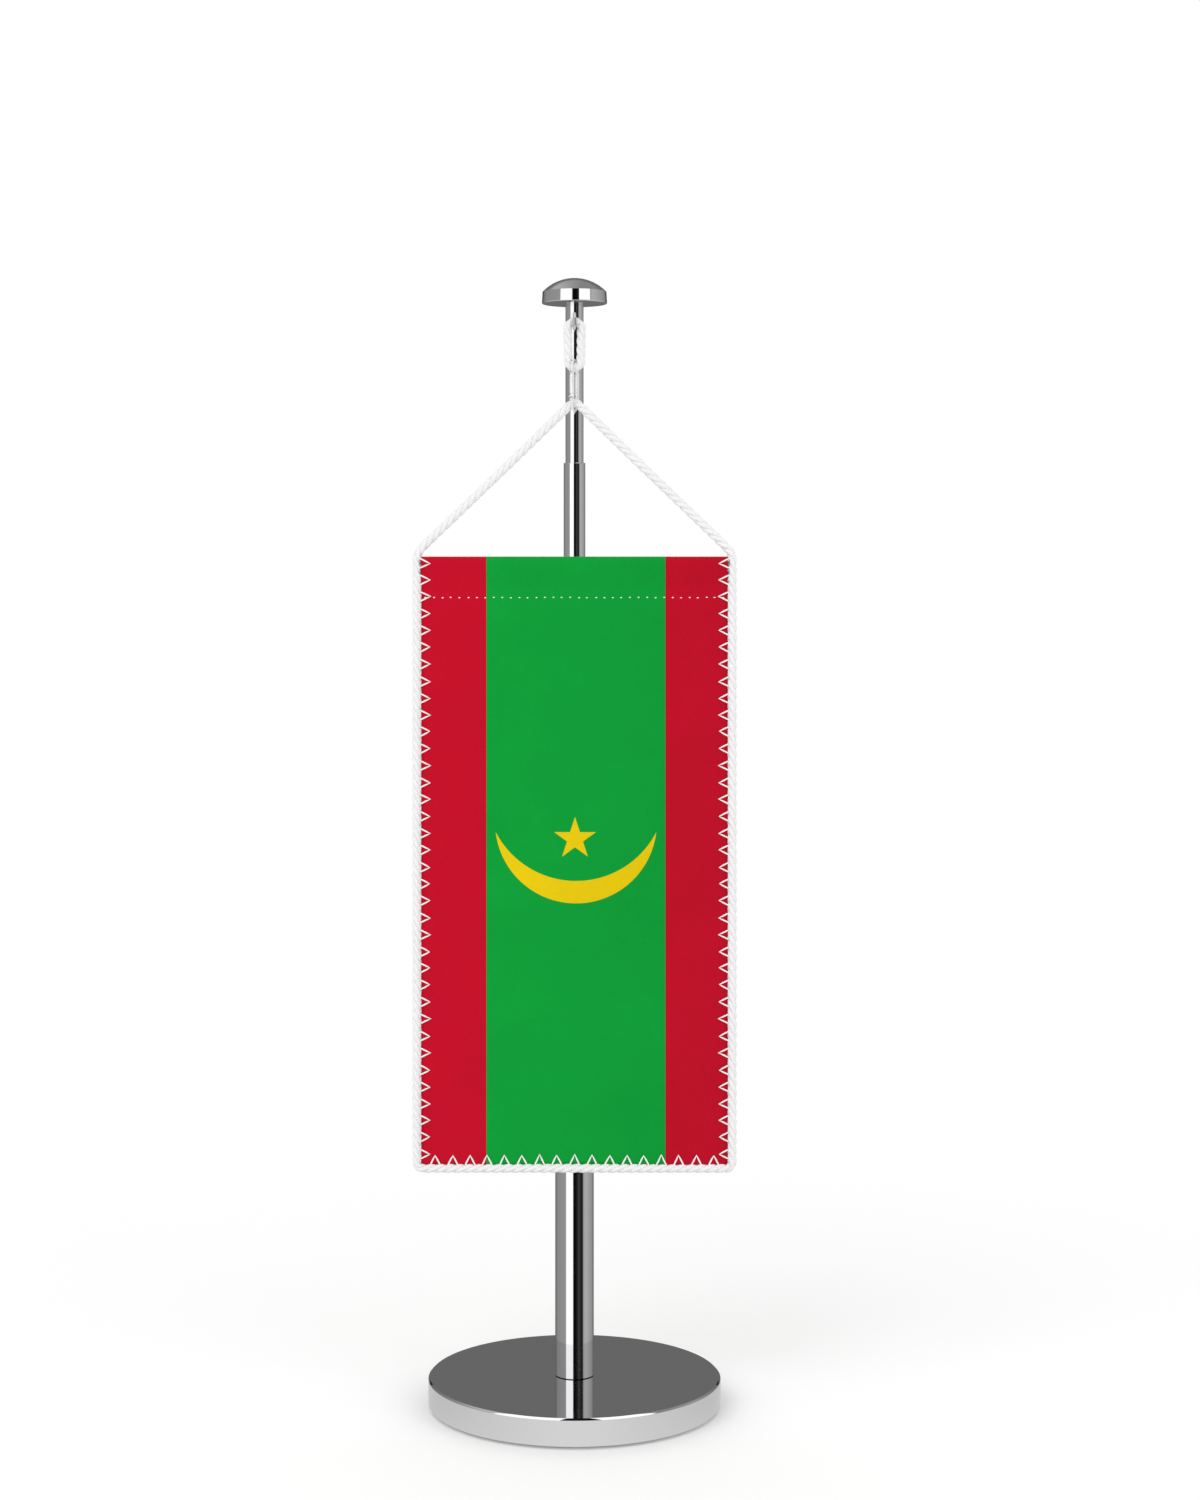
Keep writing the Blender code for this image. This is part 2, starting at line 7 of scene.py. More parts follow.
import bmesh
import bpy
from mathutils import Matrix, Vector


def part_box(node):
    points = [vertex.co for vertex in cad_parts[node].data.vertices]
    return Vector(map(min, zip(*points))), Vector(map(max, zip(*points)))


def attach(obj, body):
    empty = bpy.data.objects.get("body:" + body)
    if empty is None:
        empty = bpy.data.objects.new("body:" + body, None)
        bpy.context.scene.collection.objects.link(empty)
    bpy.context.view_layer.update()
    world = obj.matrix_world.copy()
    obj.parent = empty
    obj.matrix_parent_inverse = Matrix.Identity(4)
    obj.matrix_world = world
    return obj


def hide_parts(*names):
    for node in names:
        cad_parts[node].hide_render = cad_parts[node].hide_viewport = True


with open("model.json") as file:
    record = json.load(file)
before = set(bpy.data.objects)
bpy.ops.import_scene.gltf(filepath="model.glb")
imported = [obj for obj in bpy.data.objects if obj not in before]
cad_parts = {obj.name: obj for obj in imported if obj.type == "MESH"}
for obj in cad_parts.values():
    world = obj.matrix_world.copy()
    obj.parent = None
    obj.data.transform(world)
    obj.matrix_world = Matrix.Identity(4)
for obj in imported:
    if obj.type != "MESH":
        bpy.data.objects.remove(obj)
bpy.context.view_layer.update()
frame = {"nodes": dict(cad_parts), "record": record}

MM = 0.001
FULL_TURN = 2 * math.pi

# ---------------------------------------------------------------- places read from the frame

BORDER_LOW, BORDER_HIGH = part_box("border_bottom")
PLANE_Y = (BORDER_LOW.y + BORDER_HIGH.y) / 2
CORD_R = (BORDER_HIGH.y - BORDER_LOW.y) / 2

# The cord's route, as the CAD model has it
BORDER_X = BORDER_HIGH.x - CORD_R
BORDER_Z = BORDER_LOW.z + CORD_R
CORNER_R = 2.6 * MM
SIDE_HEIGHTS = [z * MM for z in range(110, 351, 10)]  # up the border's straight sides
APEX_Z = 414.5 * MM
BRIDLE = [
    (0.8 * MM, APEX_Z),
    (2.2 * MM, 413.5 * MM),
    (5.0 * MM, 410.8 * MM),
    (20.0 * MM, 396.2 * MM),
    (34.0 * MM, 382.7 * MM),
    (48.0 * MM, 369.3 * MM),
    (60.6 * MM, 357.2 * MM),
    (63.9 * MM, 353.6 * MM),
    (BORDER_X, 351.0 * MM),
]
HOOK_Z = 445.3 * MM
LOOP_TOP_R = 2.8 * MM
LOOP_FOOT_R = 2.6 * MM
LOOP_FOOT_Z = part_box("hanging_loop")[0].z + CORD_R + LOOP_FOOT_R

# ---------------------------------------------------------------- camera

CAMERA_DISTANCE = 1.110
EYE_HEIGHT = 0.3337
LENS = 64.2  # mm
SHIFT = (0.017, -0.10)  # share of the picture's longer side


def make_camera():
    """A level camera in front of the stand, with its picture shifted down to frame it."""
    camera = bpy.data.objects.new("camera", bpy.data.cameras.new("camera"))
    camera.data.lens = LENS
    camera.data.shift_x, camera.data.shift_y = SHIFT
    camera.location = (0, -CAMERA_DISTANCE, EYE_HEIGHT)
    camera.rotation_euler = (math.pi / 2, 0, 0)
    bpy.context.scene.collection.objects.link(camera)
    bpy.context.scene.camera = camera


# ---------------------------------------------------------------- mesh tools

SHARP_ANGLE = math.radians(30)
TURNED_SIDES = 160


def add(obj, body, finish):
    """Links a new piece to the scene, with its body and its material."""
    bpy.context.scene.collection.objects.link(obj)
    obj.data.materials.append(finish)
    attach(obj, body)
    return obj


def mesh_of(name, points, faces, sharp=SHARP_ANGLE):
    """A mesh object with its faces turned outwards, smooth except at bends of more than sharp."""
    mesh = bpy.data.meshes.new(name)
    mesh.from_pydata([tuple(p) for p in points], [], faces)
    bm = bmesh.new()
    bm.from_mesh(mesh)
    bmesh.ops.recalc_face_normals(bm, faces=bm.faces)
    bm.to_mesh(mesh)
    bm.free()
    mesh.shade_smooth()
    mesh.set_sharp_from_angle(angle=sharp)
    return bpy.data.objects.new(name, mesh)


def arc(centre, radius, start, end, count):
    """(across, up) points on an arc, with angles in degrees from straight up, clockwise."""
    turns = (math.radians(start + (end - start) * i / (count - 1)) for i in range(count))
    return [(centre[0] + radius * math.sin(a), centre[1] + radius * math.cos(a)) for a in turns]


def lathe(name, profile, sides=TURNED_SIDES):
    """A solid turned round Z from (radius, z) points. One on the axis closes the profile there."""
    points, rings = [], []
    for radius, z in profile:
        count = 1 if radius == 0 else sides
        rings.append(range(len(points), len(points) + count))
        for i in range(count):
            a = FULL_TURN * i / sides
            points.append((radius * math.cos(a), radius * math.sin(a), z))
    pairs = list(zip(rings, rings[1:]))
    if len(rings[0]) > 1:
        pairs.append((rings[-1], rings[0]))
    faces = []
    for low, high in pairs:
        for i in range(sides):
            j = (i + 1) % sides
            corners = [
                low[i % len(low)], low[j % len(low)], high[j % len(high)], high[i % len(high)],
            ]
            faces.append(list(dict.fromkeys(corners)))
    solid = mesh_of(name, points, faces)
    solid.modifiers.new("flat_sides", "WEIGHTED_NORMAL").keep_sharp = True
    return solid


def along(points):
    """The running length at each point of a route."""
    lengths = [0.0]
    for a, b in zip(points, points[1:]):
        lengths.append(lengths[-1] + (b - a).length)
    return lengths


def even(points, step):
    """Points evenly spaced, about a step apart, on the line through the points."""
    lengths = along(points)
    count = max(2, round(lengths[-1] / step))
    made, k = [], 0
    for i in range(count + 1):
        want = lengths[-1] * i / count
        while k < len(points) - 2 and lengths[k + 1] < want:
            k += 1
        share = (want - lengths[k]) / max(lengths[k + 1] - lengths[k], 1e-9)
        made.append(points[k].lerp(points[k + 1], min(max(share, 0.0), 1.0)))
    return made


def smooth(points, parts=8):
    """The smooth (Catmull-Rom) curve through the points."""
    points = [Vector(p) for p in points]
    padded = [2 * points[0] - points[1], *points, 2 * points[-1] - points[-2]]
    route = [points[0]]
    for a, b, c, d in zip(padded, padded[1:], padded[2:], padded[3:]):
        for i in range(1, parts + 1):
            t = i / parts
            bend = 2 * a - 5 * b + 4 * c - d
            twist = 3 * b - a - 3 * c + d
            route.append((2 * b + (c - a) * t + bend * t * t + twist * t**3) / 2)
    return route


def tangents(points, closed=False):
    """The direction of a route at each of its points."""
    if closed:
        ahead, behind = points[1:] + points[:1], points[-1:] + points[:-1]
    else:
        ahead, behind = points[1:] + points[-1:], points[:1] + points[:-1]
    return [(b - a).normalized() for a, b in zip(behind, ahead)]


def bar(name, stations, sides, side_on):
    """A round bar along (point, radius) stations. side_on is square to the bar's own plane."""
    spots = [Vector(p) for p, _ in stations]
    points, faces = [], []
    for (spot, ahead), (_, radius) in zip(zip(spots, tangents(spots)), stations):
        up = side_on.cross(ahead)
        for k in range(sides):
            a = FULL_TURN * k / sides
            points.append(spot + radius * (math.cos(a) * side_on + math.sin(a) * up))
    for i in range(len(spots) - 1):
        for k in range(sides):
            m = (k + 1) % sides
            faces.append([i * sides + k, i * sides + m, (i + 1) * sides + m, (i + 1) * sides + k])
    faces.append(list(range(sides)))
    faces.append(list(range(len(points) - sides, len(points))))
    return mesh_of(name, points, faces)


# ---------------------------------------------------------------- cords

STRANDS = 3
LAY = 12.0 * MM  # length of cord in which a strand goes once round
CORD_SIDES = 36
CORD_STEP = 0.6 * MM
CORD_SHARP_ANGLE = math.radians(80)
GROOVE = 0.32  # depth of the grooves between strands, as a share of the cord's radius
CROWN_POWER = 0.75  # below 1, it makes the strands fuller and the grooves narrower


def twisted(name, path):
    """A closed three-strand cord laid round a path in the hanging plane, and the path's length."""
    length = along(path + path[:1])[-1]
    turns = round(length / LAY)
    out = Vector((0, -1, 0))
    section = []
    for k in range(CORD_SIDES):
        a = FULL_TURN * k / CORD_SIDES
        crown = abs(math.sin(STRANDS * a / 2)) ** CROWN_POWER
        section.append((a, CORD_R * (1 - GROOVE + GROOVE * crown)))
    points, faces = [], []
    for spot, ahead, run in zip(path, tangents(path, closed=True), along(path)):
        side = ahead.cross(out)
        phase = -FULL_TURN * turns * run / length
        for a, radius in section:
            points.append(spot + radius * (math.cos(a + phase) * out + math.sin(a + phase) * side))
    count = len(path)
    for i in range(count):
        low, high = i * CORD_SIDES, (i + 1) % count * CORD_SIDES
        for k in range(CORD_SIDES):
            m = (k + 1) % CORD_SIDES
            faces.append([low + k, low + m, high + m, high + k])
    cord = mesh_of(name, points, faces, CORD_SHARP_ANGLE)
    cord.visible_glossy = False  # its mirror image would fill the narrow tubes behind it
    return cord, length


def at_plane(points):
    """Points (x, z) set in the plane that the pennant hangs in."""
    return [Vector((x, PLANE_Y, z)) for x, z in points]


def border_path():
    """From the middle of the lower edge, round the pennant by the bridle's apex, and back."""
    inner = BORDER_X - CORNER_R
    corner_z = BORDER_Z + CORNER_R
    right = [(0, BORDER_Z), *arc((inner, corner_z), CORNER_R, 180, 90, 9)]
    up = [(BORDER_X, z) for z in SIDE_HEIGHTS]
    half = smooth(at_plane([*up[-1:], *reversed(BRIDLE)]))
    route = at_plane(right + up) + half[1:]
    mirrored = [Vector((-p.x, p.y, p.z)) for p in reversed(route)]
    return even(route + mirrored, CORD_STEP)[:-1]


def loop_path():
    """Over the hook's wire, down to a slightly narrower foot, and back up."""
    top = arc((0, HOOK_Z), LOOP_TOP_R, -90, 90, 25)
    foot = arc((0, LOOP_FOOT_Z), LOOP_FOOT_R, 90, 270, 25)
    around = at_plane(top + foot)
    return even(around + around[:1], CORD_STEP)[:-1]


def make_cords(finish):
    """The pennant's cord, which is its border and its bridle in one, and the loop on the hook."""
    path = border_path()
    border, length = twisted("pennant_cord", path)
    add(border, "pennant", finish)
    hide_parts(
        "bridle_left", "bridle_right", "border_left", "border_right", "border_bottom"
    )
    path = loop_path()
    loop, length = twisted("hook_loop_cord", path)
    add(loop, "loop", finish)
    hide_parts("hanging_loop")


# ---------------------------------------------------------------- node tools


class Tree:
    """Adds nodes to the node tree of a material or the world."""

    def __init__(self, tree):
        self.tree = tree

    def node(self, kind, **settings):
        made = self.tree.nodes.new(kind)
        for key, value in settings.items():
            setattr(made, key, value)
        return made

    def feed(self, socket, value):
        if isinstance(value, bpy.types.NodeSocket):
            self.tree.links.new(value, socket)
        else:
            socket.default_value = value

    def math(self, operation, *values, clamp=False):
        """One Math node, fed with sockets or numbers."""
        made = self.node("ShaderNodeMath", operation=operation, use_clamp=clamp)
        for socket, value in zip(made.inputs, values):
            self.feed(socket, value)
        return made.outputs[0]

    def ramp(self, value, low, high, start=0.0, end=1.0):
        """start below low, end above high, and a straight change between them."""
        made = self.node("ShaderNodeMapRange", clamp=True)
        for name, number in (("Value", value), ("From Min", low), ("From Max", high)):
            self.feed(made.inputs[name], number)
        self.feed(made.inputs["To Min"], start)
        self.feed(made.inputs["To Max"], end)
        return made.outputs[0]

    def band(self, value, low, high, soft):
        """1 between low and high, 0 outside, with soft edges."""
        rise = self.ramp(value, low, low + soft)
        fall = self.ramp(value, high, high - soft)
        return self.math("MULTIPLY", rise, fall)

    def mix(self, share, first, second):
        """The first colour where share is 0, and the second where it is 1."""
        made = self.node("ShaderNodeMix", data_type="RGBA")
        colour_a, colour_b, result = 6, 7, 2  # among the node's sockets for every data type
        self.feed(made.inputs["Factor"], share)
        self.feed(made.inputs[colour_a], first)
        self.feed(made.inputs[colour_b], second)
        return made.outputs[result]

    def noise(self, vector, scale, detail=3.0, roughness=0.5):
        """Noise from 0 to 1, with about scale waves to a metre."""
        made = self.node("ShaderNodeTexNoise")
        self.feed(made.inputs["Vector"], vector)
        made.inputs["Scale"].default_value = scale
        made.inputs["Detail"].default_value = detail
        made.inputs["Roughness"].default_value = roughness
        return made.outputs[0]

    def bump(self, height, strength, distance, normal=None):
        """A normal that follows a height from 0 to 1, which stands for a distance in metres."""
        made = self.node("ShaderNodeBump")
        made.inputs["Strength"].default_value = strength
        made.inputs["Distance"].default_value = distance
        self.feed(made.inputs["Height"], height)
        if normal is not None:
            self.feed(made.inputs["Normal"], normal)
        return made.outputs[0]

    def place(self):
        """The point in the piece's own space, which is the shared frame at rest."""
        return self.node("ShaderNodeTexCoord").outputs["Object"]

    def axes(self, vector):
        """The x, y and z of a vector."""
        made = self.node("ShaderNodeSeparateXYZ")
        self.feed(made.inputs[0], vector)
        return tuple(made.outputs)


def grey(level):
    """A colour as bright as level."""
    return (level, level, level, 1)


def principled(name, **inputs):
    """A material, its tree and its Principled shader, with the shader's sockets set by name."""
    made = bpy.data.materials.new(name)
    made.use_nodes = True
    shader = made.node_tree.nodes["Principled BSDF"]
    tree = Tree(made.node_tree)
    for key, value in inputs.items():
        tree.feed(shader.inputs[key.replace("_", " ")], value)
    return made, tree, shader


# ---------------------------------------------------------------- materials

TURNING_PITCH = 0.26 * MM  # of the marks on turned steel


def chrome_finish():
    """Polished chrome plate: almost a mirror, with faint polishing haze."""
    made, tree, shader = principled("chrome_plate", Metallic=1.0, Base_Color=(0.80, 0.80, 0.81, 1))
    haze = tree.noise(tree.place(), 120.0, 4.0)
    tree.feed(shader.inputs["Roughness"], tree.ramp(haze, 0.35, 0.75, 0.025, 0.06))
    return made


def steel_finish():
    """Zinc plate on turned steel, with fine turning marks round Z."""
    made, tree, shader = principled("zinc_plate", Metallic=1.0, Base_Color=(0.62, 0.63, 0.66, 1))
    spot = tree.place()
    _, _, z = tree.axes(spot)
    marks = tree.math("SINE", tree.math("MULTIPLY", z, FULL_TURN / TURNING_PITCH))
    blotches = tree.noise(spot, 300.0)
    tree.feed(shader.inputs["Roughness"], tree.ramp(blotches, 0.3, 0.7, 0.26, 0.42))
    tree.feed(shader.inputs["Normal"], tree.bump(marks, 0.25, 0.02 * MM))
    return made


def link_finish():
    """Bright white-metal plate on the snap link, softer and paler than the pole's chrome."""
    made, tree, shader = principled("bright_plate", Metallic=0.35)
    wear = tree.noise(tree.place(), 350.0, 2.0)
    colour = tree.mix(wear, (0.84, 0.84, 0.85, 1), grey(0.90))
    tree.feed(shader.inputs["Base Color"], colour)
    tree.feed(shader.inputs["Roughness"], tree.ramp(wear, 0.3, 0.7, 0.22, 0.30))
    return made


def felt_finish():
    """Black needled felt, with loose fibres."""
    made, tree, shader = principled("black_felt", Roughness=0.95, Sheen_Weight=0.4)
    fuzz = tree.noise(tree.place(), 2600.0, 6.0, 0.7)
    colour = tree.mix(fuzz, (0.012, 0.012, 0.013, 1), (0.06, 0.06, 0.062, 1))
    tree.feed(shader.inputs["Base Color"], colour)
    tree.feed(shader.inputs["Normal"], tree.bump(fuzz, 0.8, 0.3 * MM))
    return made


def moulded_finish(name, colour, roughness):
    """A moulded plastic or rubber, with a faint grain."""
    made, tree, shader = principled(name)
    spot = tree.place()
    grain = tree.noise(spot, 1800.0, 4.0)
    dark = tuple(0.86 * c for c in colour[:3]) + (1,)
    tree.feed(shader.inputs["Base Color"], tree.mix(tree.noise(spot, 90.0), dark, colour))
    rough = tree.ramp(grain, 0.3, 0.7, roughness - 0.06, roughness + 0.06)
    tree.feed(shader.inputs["Roughness"], rough)
    tree.feed(shader.inputs["Normal"], tree.bump(grain, 0.2, 0.05 * MM))
    return made


def cord_finish():
    """White rayon cord: fine yarns, a little greyer in places, with a soft lustre."""
    made, tree, shader = principled("white_rayon", Roughness=0.5, Sheen_Weight=0.15)
    spot = tree.place()
    yarns = tree.noise(spot, 2000.0, 2.0, 0.5)
    clean = tree.mix(tree.noise(spot, 60.0), grey(0.75), grey(0.82))
    colour = tree.mix(tree.ramp(yarns, 0.3, 0.5), grey(0.70), clean)
    tree.feed(shader.inputs["Base Color"], colour)
    tree.feed(shader.inputs["Normal"], tree.bump(yarns, 0.12, 0.1 * MM))
    return made


def thread_finish():
    """White sewing thread, with the twist of its fibres."""
    made, tree, shader = principled("white_thread", Roughness=0.5, Sheen_Weight=0.3)
    twist = tree.noise(tree.place(), 5000.0, 4.0)
    tree.feed(shader.inputs["Base Color"], tree.mix(twist, grey(0.80), grey(0.93)))
    tree.feed(shader.inputs["Normal"], tree.bump(twist, 0.4, 0.1 * MM))
    return made


# The printed design, on the cloth's width and height
CLOTH_X = 63.0 * MM  # half the cloth's width
CLOTH_W = 2 * CLOTH_X
STRIPE_LEFT = -CLOTH_X + 0.2125 * CLOTH_W
STRIPE_RIGHT = -CLOTH_X + 0.7965 * CLOTH_W
STRIPE_SOFT = 0.05 * MM
STAR_POINTS = 5
STAR_X = 0.2 * MM
STAR_Z = 235.5 * MM
STAR_R = 9.0 * MM
CRESCENT_X = 0.6 * MM
CRESCENT_Z = 242.2 * MM
CRESCENT_R = 33.2 * MM
BITE_Z = 255.3 * MM  # the round bite that makes a disc a crescent
BITE_R = 37.1 * MM
RED = (0.467, 0.0012, 0.0156, 1)
GREEN = (0.0008, 0.291, 0.032, 1)
YELLOW = (0.70, 0.505, 0.001, 1)
OVERPRINT = (0.06, 0.03, 0.008, 1)
TRAP = 0.05 * MM  # half the width of the overlap between two inks
WEAVE_PITCH = 0.32 * MM


def from_centre(tree, x, z, centre_x, centre_z):
    """How far across and up a point is from a centre, and its distance."""
    across = tree.math("SUBTRACT", x, centre_x)
    up = tree.math("SUBTRACT", z, centre_z)
    squares = [tree.math("MULTIPLY", side, side) for side in (across, up)]
    return across, up, tree.math("SQRT", tree.math("ADD", *squares))


def star_mask(tree, x, z):
    """1 inside a star: a point is folded into one half of one arm, then tested on a line."""
    across, up, reach = from_centre(tree, x, z, STAR_X, STAR_Z)
    arm = FULL_TURN / STAR_POINTS
    turned = tree.math("WRAP", tree.math("ARCTAN2", across, up), arm / 2, -arm / 2)
    folded = tree.math("ABSOLUTE", turned)
    # The arm's edge runs to the tip of the arm after next, so its normal leans by one arm's angle
    facing = tree.math("COSINE", tree.math("SUBTRACT", arm, folded))
    return tree.math("LESS_THAN", tree.math("MULTIPLY", reach, facing), STAR_R * math.cos(arm))


def disc_mask(tree, x, z, centre_x, centre_z, radius):
    """1 inside a disc."""
    distance = from_centre(tree, x, z, centre_x, centre_z)[2]
    return tree.math("LESS_THAN", distance, radius)


def printed_design(tree, x, z):
    """A stripe between two others, with a crescent and a star on it."""
    stripe = tree.band(x, STRIPE_LEFT, STRIPE_RIGHT, STRIPE_SOFT)
    ground = tree.mix(stripe, RED, GREEN)
    for edge in (STRIPE_LEFT, STRIPE_RIGHT):
        overlap = tree.band(x, edge - TRAP, edge + TRAP, 0.5 * TRAP)
        ground = tree.mix(overlap, ground, OVERPRINT)
    disc = disc_mask(tree, x, z, CRESCENT_X, CRESCENT_Z, CRESCENT_R)
    bite = disc_mask(tree, x, z, CRESCENT_X, BITE_Z, BITE_R)
    crescent = tree.math("SUBTRACT", disc, bite, clamp=True)
    charge = tree.math("MAXIMUM", crescent, star_mask(tree, x, z))
    return tree.mix(charge, ground, YELLOW)


def cloth_finish():
    """Printed polyester: the design on a plain weave, with fibres, mottle and painted shade,
    lighter on the left and darker on the right.
    """
    made, tree, shader = principled("printed_polyester", Roughness=0.75, Sheen_Weight=0.02)
    shader.inputs["Specular IOR Level"].default_value = 0.1
    spot = tree.place()
    x, _, z = tree.axes(spot)
    mottle = tree.noise(spot, 35.0, 5.0, 0.6)
    fibres = tree.noise(spot, 1500.0, 4.0, 0.6)
    # Painted shade: the colour is scaled lighter at the left edge and darker at the right edge, as
    # light falls across the cloth
    level = tree.math("ADD", 1.0, tree.ramp(x, -CLOTH_X, CLOTH_X, 0.055, -0.06))
    level = tree.math("ADD", level, tree.ramp(mottle, 0.3, 0.7, -0.05, 0.04))
    level = tree.math("ADD", level, tree.ramp(fibres, 0.2, 0.8, -0.05, 0.05))
    scaled = tree.node("ShaderNodeVectorMath", operation="SCALE")
    tree.feed(scaled.inputs[0], printed_design(tree, x, z))
    tree.feed(scaled.inputs["Scale"], level)
    tree.feed(shader.inputs["Base Color"], scaled.outputs[0])

    threads = FULL_TURN / WEAVE_PITCH
    warp = tree.math("SINE", tree.math("MULTIPLY", x, threads))
    weft = tree.math("SINE", tree.math("MULTIPLY", z, threads))
    weave = tree.math("MULTIPLY", warp, weft)
    rough = tree.bump(fibres, 0.15, 0.1 * MM)
    tree.feed(shader.inputs["Normal"], tree.bump(weave, 0.25, 0.08 * MM, rough))
    return made


# ---------------------------------------------------------------- pennant cloth

SHEET_THICK = 0.32 * MM
CLOTH_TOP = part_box("pennant_cloth")[1].z
CLOTH_BOTTOM = BORDER_Z + 1.55 * MM
ROD_LOW, ROD_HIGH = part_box("hem_rod")
ROD_Z = (ROD_LOW.z + ROD_HIGH.z) / 2
HEM_R = (ROD_HIGH.z - ROD_LOW.z) / 2 + 0.5 * MM
HEM_DEPTH = 17.0 * MM  # from the cloth's top down to the hem's stitches
HEM_EDGE = 2.0 * MM  # from the stitches down to the hem's folded edge
STITCH_Z = CLOTH_TOP - HEM_DEPTH
SWELL_RUN = 13.0 * MM  # from the rod down to where the hem's layers meet
LAYER_GAP = SHEET_THICK + 0.08 * MM  # between the middles of the hem's layers, where they meet
GRID = 1.4 * MM
FREE_DEPTH = 60 * MM  # below the stitches, from where the cloth sways freely


def sway(x, z):
    """How far the hanging cloth stands from its plane: nothing at the rod, a little lower down."""
    down = min(max((STITCH_Z - z) / FREE_DEPTH, 0.0), 1.0)
    outward = abs(x) / CLOTH_X
    wave = 0.42 * MM * math.sin(70 * x + 9 * z + 0.4) + 0.25 * MM * math.sin(31 * z + 25 * x)
    ripple = 0.16 * MM * math.sin(120 * z)
    return down * (wave * (1 - outward**4) + ripple * outward**3)


def swell(z):
    """How far each layer of the hem stands out from the plane, round the rod."""
    rise = min(max((z - ROD_Z + SWELL_RUN) / SWELL_RUN, 0.0), 1.0)
    return HEM_R * rise * rise * (3 - 2 * rise)


def front_layer(z):
    """How far the front layer is from the cloth's plane."""
    return -swell(z)


def back_layer(z):
    """How far the back layer, or below the hem the single layer, is from the cloth's plane."""
    return swell(z) if z > ROD_Z - SWELL_RUN else 0.0


def heights(start, end):
    """Heights from start to end, about a grid step apart."""
    rows = round(abs(end - start) / GRID)
    return [start + (end - start) * i / rows for i in range(rows + 1)]


def cloth_profile():
    """(offset towards the back, z) up the front layer, over the rod and down the back layer."""
    front = [(front_layer(z), z) for z in heights(CLOTH_BOTTOM, ROD_Z)]
    over = arc((0, ROD_Z), HEM_R, -90, 90, 13)[1:-1]
    back = []
    for z in heights(ROD_Z, STITCH_Z - HEM_EDGE):
        apart = LAYER_GAP * min((ROD_Z - z) / SWELL_RUN, 1.0)
        back.append((back_layer(z) + apart, z))
    return front + over + back


def make_cloth(finish):
    """The cloth as one sheet folded over its rod, thickened by a modifier."""
    profile = cloth_profile()
    columns = round(CLOTH_W / GRID)
    points, faces = [], []
    for offset, z in profile:
        for i in range(columns + 1):
            x = -CLOTH_X + CLOTH_W * i / columns
            points.append((x, PLANE_Y + offset + sway(x, z), z))
    wide = columns + 1
    for r in range(len(profile) - 1):
        for i in range(columns):
            corner = r * wide + i
            faces.append([corner, corner + 1, corner + wide + 1, corner + wide])
    cloth = mesh_of("pennant_fabric", points, faces)
    solidify = cloth.modifiers.new("thickness", "SOLIDIFY")
    solidify.thickness = SHEET_THICK
    solidify.offset = 0
    add(cloth, "pennant", finish)
    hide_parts("pennant_cloth")
    return cloth


# ---------------------------------------------------------------- stitching

ZIGZAG_SEED, HEM_SEED = 7, 3
PITCH = 6.95 * MM
FIRST_TIP = 2.8 * MM  # from the cloth's top down to the first tip
TIP_IN = 3.7 * MM  # from the cloth's edge to a zigzag's tip
THREAD_R = 0.33 * MM
CORD_GAP = 0.05 * MM  # between the cord and the thread where it comes out
CORNER_GAP = 0.6 * MM  # from the lower cord up to where a side's zigzag starts
FOOT_SHORT = 4.5 * MM  # by which the lower zigzag is shorter than the cloth is wide
HEM_STITCH_HALF = 0.30 * MM
HEM_STITCH_R = 0.22 * MM
HEM_STITCH_SPACING = 3.5 * MM
HEM_STITCH_PROUD = 0.06 * MM  # the thread's middle above the cloth
HEM_STITCH_SUNK = 0.3 * MM  # from there down to its ends, in the cloth
HEM_MARGIN = 1.8 * MM
FACES = ((1, "front"), (-1, "back"))


def face_y(x, z, face):
    """The y of the cloth's front (face 1) or back (face -1)."""
    half = SHEET_THICK / 2
    if face > 0:
        return PLANE_Y + sway(x, z) + front_layer(z) - half
    hem = LAYER_GAP if z > STITCH_Z - HEM_EDGE else 0.0
    return PLANE_Y + sway(x, z) + back_layer(z) + hem + half


def thread_curve(name, routes, radius, finish):
    """One piece of thread or more, each along its own route, as one curve on the pennant."""
    curve = bpy.data.curves.new(name, "CURVE")
    curve.dimensions = "3D"
    curve.bevel_depth = radius
    curve.bevel_resolution = 2
    curve.use_fill_caps = True
    for route in routes:
        spline = curve.splines.new("POLY")
        spline.points.add(len(route) - 1)
        for point, spot in zip(spline.points, route):
            point.co = (*spot, 1.0)
    return add(bpy.data.objects.new(name, curve), "pennant", finish)


def zigzag(start, way, inward, count, pitch, face):
    """A zigzag beside a cord, which its thread runs through between two points.

    start is on the cord's line, way runs along it, and inward is towards the cloth.
    """
    rng = random.Random(ZIGZAG_SEED)
    tip = (BORDER_X - CLOTH_X) + TIP_IN
    beside = CORD_R + CORD_GAP
    # One arm, as shares of the pitch from the tip and places across from the cord's line
    arm = ((0.42, 0.0), (0.31, 0.4 * CORD_R), (0.25, beside), (0.125, (beside + tip) / 2))
    stitch = [(-part, across) for part, across in arm] + [(0.0, tip)] + list(reversed(arm))
    route = []
    for i in range(count):
        shift = rng.uniform(-0.04, 0.04)
        slack = rng.uniform(-0.35, 0.25) * MM
        for part, across in stitch:
            spot = start + way * (i + 0.5 + part + shift * (1 - 2 * abs(part))) * pitch
            spot += inward * (across + (slack if part == 0 else 0.0))
            if across >= beside:
                spot.y = face_y(spot.x, spot.z, face) - face * 0.6 * THREAD_R
            route.append(spot)
    return route


